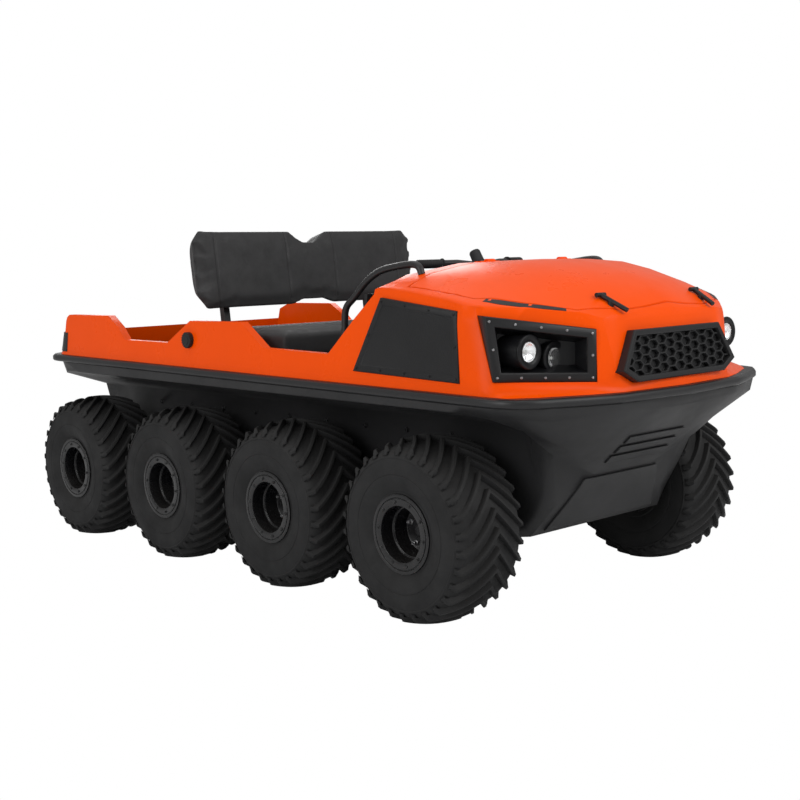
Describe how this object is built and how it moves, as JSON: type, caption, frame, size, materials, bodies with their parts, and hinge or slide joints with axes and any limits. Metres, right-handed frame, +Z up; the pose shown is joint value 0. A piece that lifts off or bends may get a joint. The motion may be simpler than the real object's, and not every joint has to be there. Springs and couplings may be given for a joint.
{
  "type": "eight-wheeled amphibious all-terrain vehicle",
  "caption": "Amphibious all-terrain vehicle with an open tub, wheels along both sides, bench seat, handlebar and hinged hood.",
  "frame": {"origin": "on the floor, under the middle of the vehicle's length and width", "axes": "+Z up, -Y towards the nose, +X towards the vehicle's left side"},
  "size_m": [1.545, 3.135, 1.368],
  "materials": {
    "orange_moulding": "glossy orange moulded polyethylene",
    "black_moulding": "satin black moulded polyethylene",
    "black_trim": "satin black plastic",
    "tyre": "matt black rubber",
    "rim": "black painted steel",
    "steel": "bare steel",
    "black_steel": "satin black powder coat",
    "seat_vinyl": "grained black seat vinyl",
    "engine": "grey painted casting",
    "deck": "textured black floor panel"
  },
  "bodies": {
    "hull": {"lower_hull": "black_moulding", "rub_rail": "black_moulding", "upper_body": "orange_moulding", "axle_1": "steel", "axle_2": "steel", "axle_3": "steel", "axle_4": "steel", "grille": "black_trim", "lamp_unit_left": "black_trim", "lamp_unit_right": "black_trim", "side_panel_left": "black_trim", "side_panel_right": "black_trim", "floor_front": "deck", "floor_rear": "deck", "engine_block": "engine", "dash_panel": "black_trim", "seat_base": "black_trim", "seat_cushion": "seat_vinyl", "seat_back": "seat_vinyl", "seat_frame": "black_steel", "steering_column": "black_steel"},
    "hood": {"hood": "orange_moulding"},
    "handlebar": {"handlebar": "black_steel"},
    "wheel_left_1": {"tyre_left_1": "tyre", "rim_left_1": "rim"},
    "wheel_left_2": {"tyre_left_2": "tyre", "rim_left_2": "rim"},
    "wheel_left_3": {"tyre_left_3": "tyre", "rim_left_3": "rim"},
    "wheel_left_4": {"tyre_left_4": "tyre", "rim_left_4": "rim"},
    "wheel_right_1": {"tyre_right_1": "tyre", "rim_right_1": "rim"},
    "wheel_right_2": {"tyre_right_2": "tyre", "rim_right_2": "rim"},
    "wheel_right_3": {"tyre_right_3": "tyre", "rim_right_3": "rim"},
    "wheel_right_4": {"tyre_right_4": "tyre", "rim_right_4": "rim"}
  },
  "joints": [
    {"name": "hood_hinge", "type": "hinge", "parent": "hull", "child": "hood", "pos_m": [0, -0.857, 1.199], "axis": [-1, 0, 0], "range_deg": [0, 60]},
    {"name": "handlebar_turn", "type": "hinge", "parent": "hull", "child": "handlebar", "pos_m": [0.15, -0.5, 1.15], "axis": [0, 0.5, 0.866], "range_deg": [-35, 35]},
    {"name": "wheel_left_1_spin", "type": "hinge", "parent": "hull", "child": "wheel_left_1", "pos_m": [0.62, -0.9555, 0.3175], "axis": [1, 0, 0], "continuous": true},
    {"name": "wheel_left_2_spin", "type": "hinge", "parent": "hull", "child": "wheel_left_2", "pos_m": [0.62, -0.2335, 0.3175], "axis": [1, 0, 0], "continuous": true},
    {"name": "wheel_left_3_spin", "type": "hinge", "parent": "hull", "child": "wheel_left_3", "pos_m": [0.62, 0.4885, 0.3175], "axis": [1, 0, 0], "continuous": true},
    {"name": "wheel_left_4_spin", "type": "hinge", "parent": "hull", "child": "wheel_left_4", "pos_m": [0.62, 1.2105, 0.3175], "axis": [1, 0, 0], "continuous": true},
    {"name": "wheel_right_1_spin", "type": "hinge", "parent": "hull", "child": "wheel_right_1", "pos_m": [-0.62, -0.9555, 0.3175], "axis": [1, 0, 0], "continuous": true},
    {"name": "wheel_right_2_spin", "type": "hinge", "parent": "hull", "child": "wheel_right_2", "pos_m": [-0.62, -0.2335, 0.3175], "axis": [1, 0, 0], "continuous": true},
    {"name": "wheel_right_3_spin", "type": "hinge", "parent": "hull", "child": "wheel_right_3", "pos_m": [-0.62, 0.4885, 0.3175], "axis": [1, 0, 0], "continuous": true},
    {"name": "wheel_right_4_spin", "type": "hinge", "parent": "hull", "child": "wheel_right_4", "pos_m": [-0.62, 1.2105, 0.3175], "axis": [1, 0, 0], "continuous": true}
  ]
}
